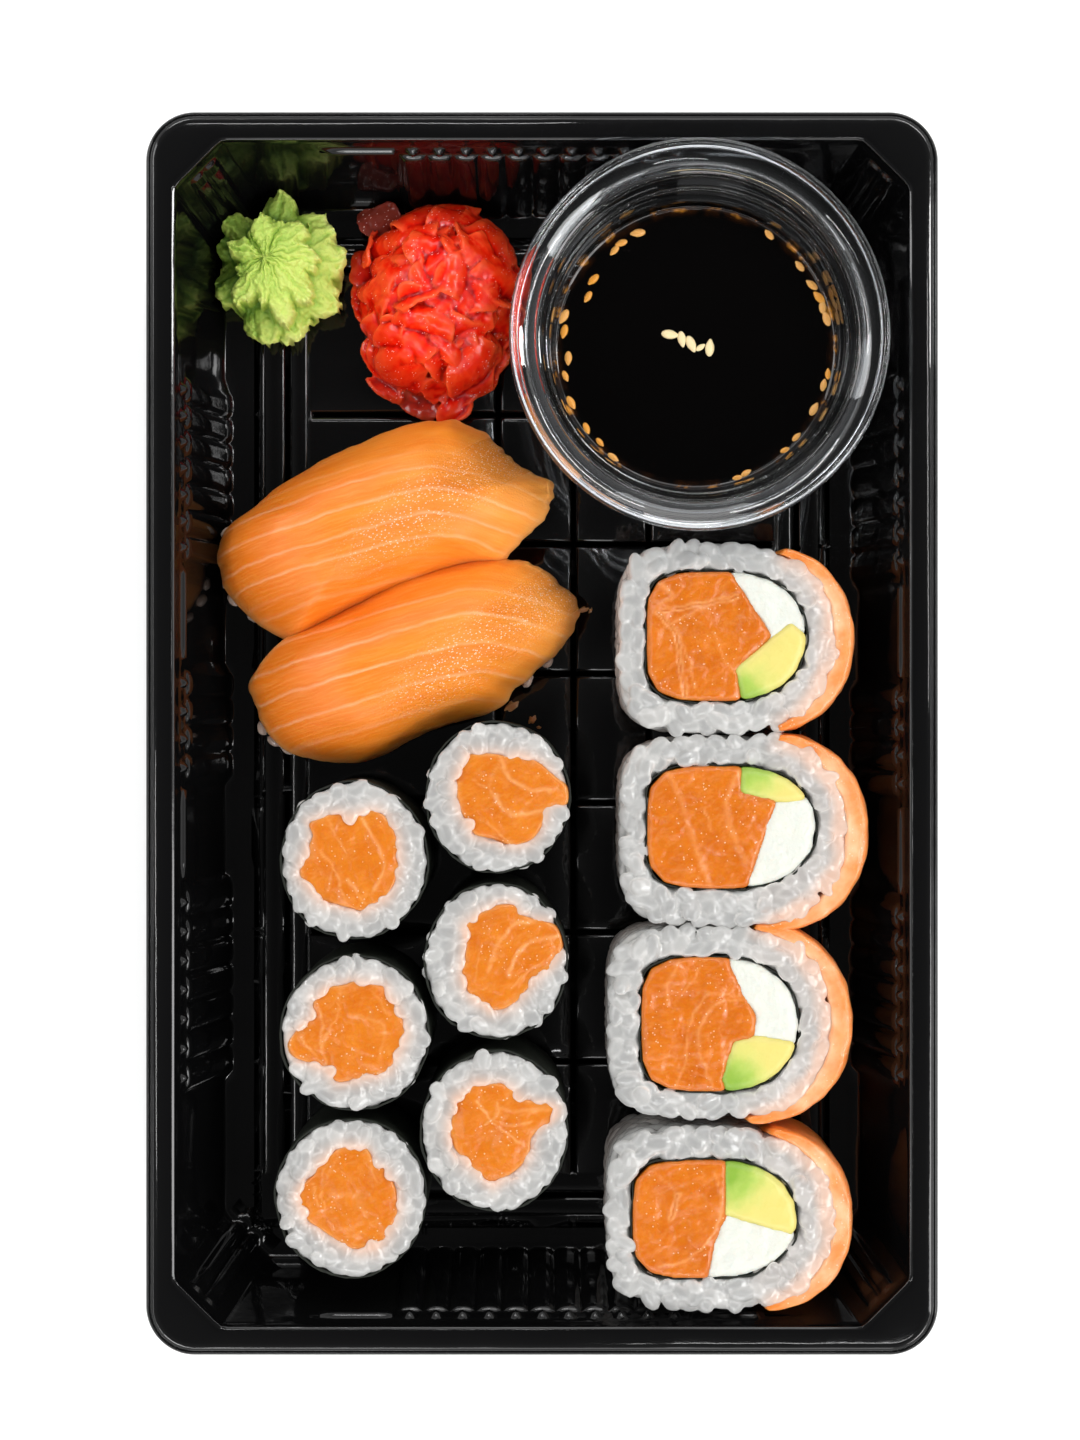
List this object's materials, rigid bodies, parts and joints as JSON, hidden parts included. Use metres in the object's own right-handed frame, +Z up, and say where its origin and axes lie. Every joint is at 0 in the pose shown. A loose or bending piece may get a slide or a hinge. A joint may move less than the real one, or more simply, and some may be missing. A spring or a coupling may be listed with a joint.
{
  "type": "takeaway sushi tray",
  "caption": "Black thermoformed takeaway tray filled with nigiri, maki and uramaki, wasabi, pickled ginger and a clear cup of soy sauce.",
  "frame": {"origin": "on the surface that the tray stands on, under the middle of the tray", "axes": "+Z up, +Y along the tray's long side towards the end with the wasabi and the sauce cup, +X towards the side with the cup"},
  "size_m": [0.138, 0.216, 0.034],
  "materials": {
    "tray_plastic": "glossy black thermoformed sheet",
    "cup_plastic": "clear thin thermoformed plastic",
    "soy_sauce": "near-black liquid, amber where it is thin",
    "sesame": "smooth pale seed skin",
    "wasabi": "soft moist paste with a fine grain",
    "pickled_ginger": "wet translucent slices",
    "rice": "moist translucent grains",
    "nori": "dark fibrous sheet",
    "salmon": "moist raw fish with white fat lines",
    "cream_cheese": "smooth soft cheese",
    "avocado": "soft flesh, greener towards the skin"
  },
  "bodies": {
    "root": {"tray": "tray_plastic", "sauce_cup": "cup_plastic", "soy_sauce": "soy_sauce", "wasabi": "wasabi", "pickled_ginger": "pickled_ginger", "nigiri_1_salmon": "salmon", "nigiri_1_rice": "rice", "nigiri_2_salmon": "salmon", "nigiri_2_rice": "rice", "maki_1_nori": "nori", "maki_1_rice": "rice", "maki_1_salmon": "salmon", "maki_2_nori": "nori", "maki_2_rice": "rice", "maki_2_salmon": "salmon", "maki_3_nori": "nori", "maki_3_rice": "rice", "maki_3_salmon": "salmon", "maki_4_nori": "nori", "maki_4_rice": "rice", "maki_4_salmon": "salmon", "maki_5_nori": "nori", "maki_5_rice": "rice", "maki_5_salmon": "salmon", "maki_6_nori": "nori", "maki_6_rice": "rice", "maki_6_salmon": "salmon", "uramaki_1_rice": "rice", "uramaki_1_nori": "nori", "uramaki_1_salmon": "salmon", "uramaki_1_avocado": "avocado", "uramaki_1_cream_cheese": "cream_cheese", "uramaki_1_salmon_slice": "salmon", "uramaki_2_rice": "rice", "uramaki_2_nori": "nori", "uramaki_2_salmon": "salmon", "uramaki_2_avocado": "avocado", "uramaki_2_cream_cheese": "cream_cheese", "uramaki_2_salmon_slice": "salmon", "uramaki_3_rice": "rice", "uramaki_3_nori": "nori", "uramaki_3_salmon": "salmon", "uramaki_3_avocado": "avocado", "uramaki_3_cream_cheese": "cream_cheese", "uramaki_3_salmon_slice": "salmon", "uramaki_4_rice": "rice", "uramaki_4_nori": "nori", "uramaki_4_salmon": "salmon", "uramaki_4_avocado": "avocado", "uramaki_4_cream_cheese": "cream_cheese", "uramaki_4_salmon_slice": "salmon"}
  },
  "joints": []
}
